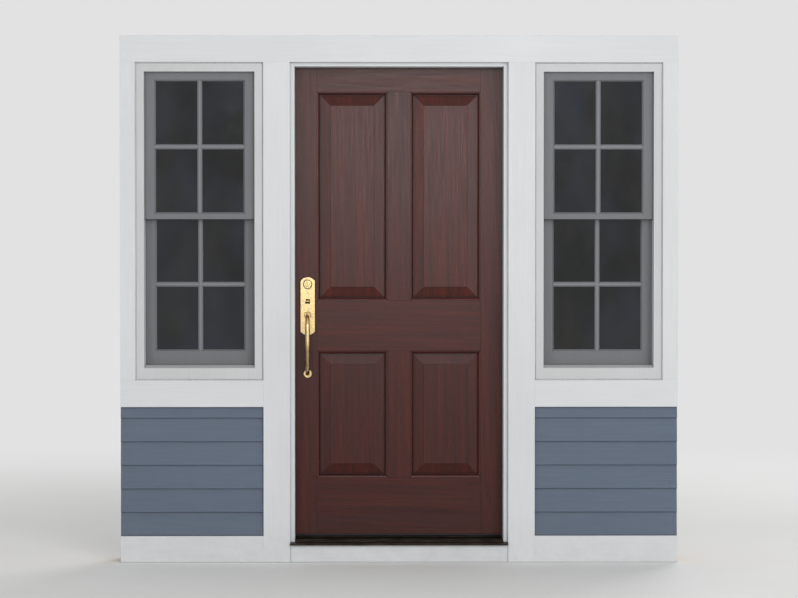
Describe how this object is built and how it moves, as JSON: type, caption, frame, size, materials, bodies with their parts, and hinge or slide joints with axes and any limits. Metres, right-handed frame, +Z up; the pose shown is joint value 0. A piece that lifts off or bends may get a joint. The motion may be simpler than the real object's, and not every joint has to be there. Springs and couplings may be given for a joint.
{
  "type": "front door",
  "caption": "Panelled wooden front door in a cased frame, with tall double-hung side windows over low boarded walls, a metal threshold and a brass handle set.",
  "frame": {"origin": "middle of the sill's underside, at half the wall's depth", "axes": "+X to the right seen from outside, +Y into the house, +Z up"},
  "size_m": [2.3946, 0.262, 2.264],
  "materials": {
    "mahogany": "satin varnish",
    "white_paint": "satin paint",
    "sash_paint": "satin paint",
    "siding_paint": "matte paint",
    "framing_timber": "sawn",
    "plaster": "matte paint",
    "brass": "polished",
    "bronze_aluminium": "anodised",
    "seal_rubber": "matte",
    "glass": "clear"
  },
  "bodies": {
    "frame": {"aprons": "white_paint", "door_casings": "white_paint", "end_casings": "white_paint", "frame_hinge_leaves": "brass", "head_casing": "white_paint", "head_jamb": "white_paint", "header": "framing_timber", "hinge_jamb": "white_paint", "hinge_pins": "brass", "inside_casings": "white_paint", "inside_head_casing": "white_paint", "inside_sills": "white_paint", "inside_skirting": "white_paint", "knee_walls": "plaster", "lock_jamb": "white_paint", "lower_sashes": "sash_paint", "riser_board": "white_paint", "siding": "siding_paint", "sill_block": "framing_timber", "skirt_boards": "white_paint", "strike_plates": "brass", "threshold": "bronze_aluminium", "upper_sashes": "sash_paint", "wall_posts": "framing_timber", "weatherstrip": "seal_rubber", "window_frames": "white_paint", "window_panes": "glass"},
    "door": {"lock_stile": "mahogany", "hinge_stile": "mahogany", "top_rail": "mahogany", "lock_rail": "mahogany", "bottom_rail": "mahogany", "upper_mullion": "mahogany", "lower_mullion": "mahogany", "upper_panels": "mahogany", "lower_panels": "mahogany", "door_sweep": "seal_rubber", "door_hinge_leaves": "brass", "lock_faceplates": "brass", "outer_handle_plate": "brass", "handle_grip": "brass", "key_cylinder": "brass", "inner_lock_plate": "brass", "inside_knob": "brass", "bolt_turn": "brass"},
    "thumb": {"thumb_piece": "brass"}
  },
  "joints": [
    {"name": "door_swing", "type": "hinge", "parent": "frame", "child": "door", "pos_m": [0.45995, 0.09, 1.1748], "axis": [0, 0, -1], "range_deg": [0, 110]},
    {"name": "thumb_press", "type": "hinge", "parent": "door", "child": "thumb", "pos_m": [-0.3962, 0.04705, 1.122], "axis": [1, 0, 0], "range_deg": [0, 12], "stiffness_Nm_per_rad": 0.4, "springref_deg": -17.19}
  ]
}
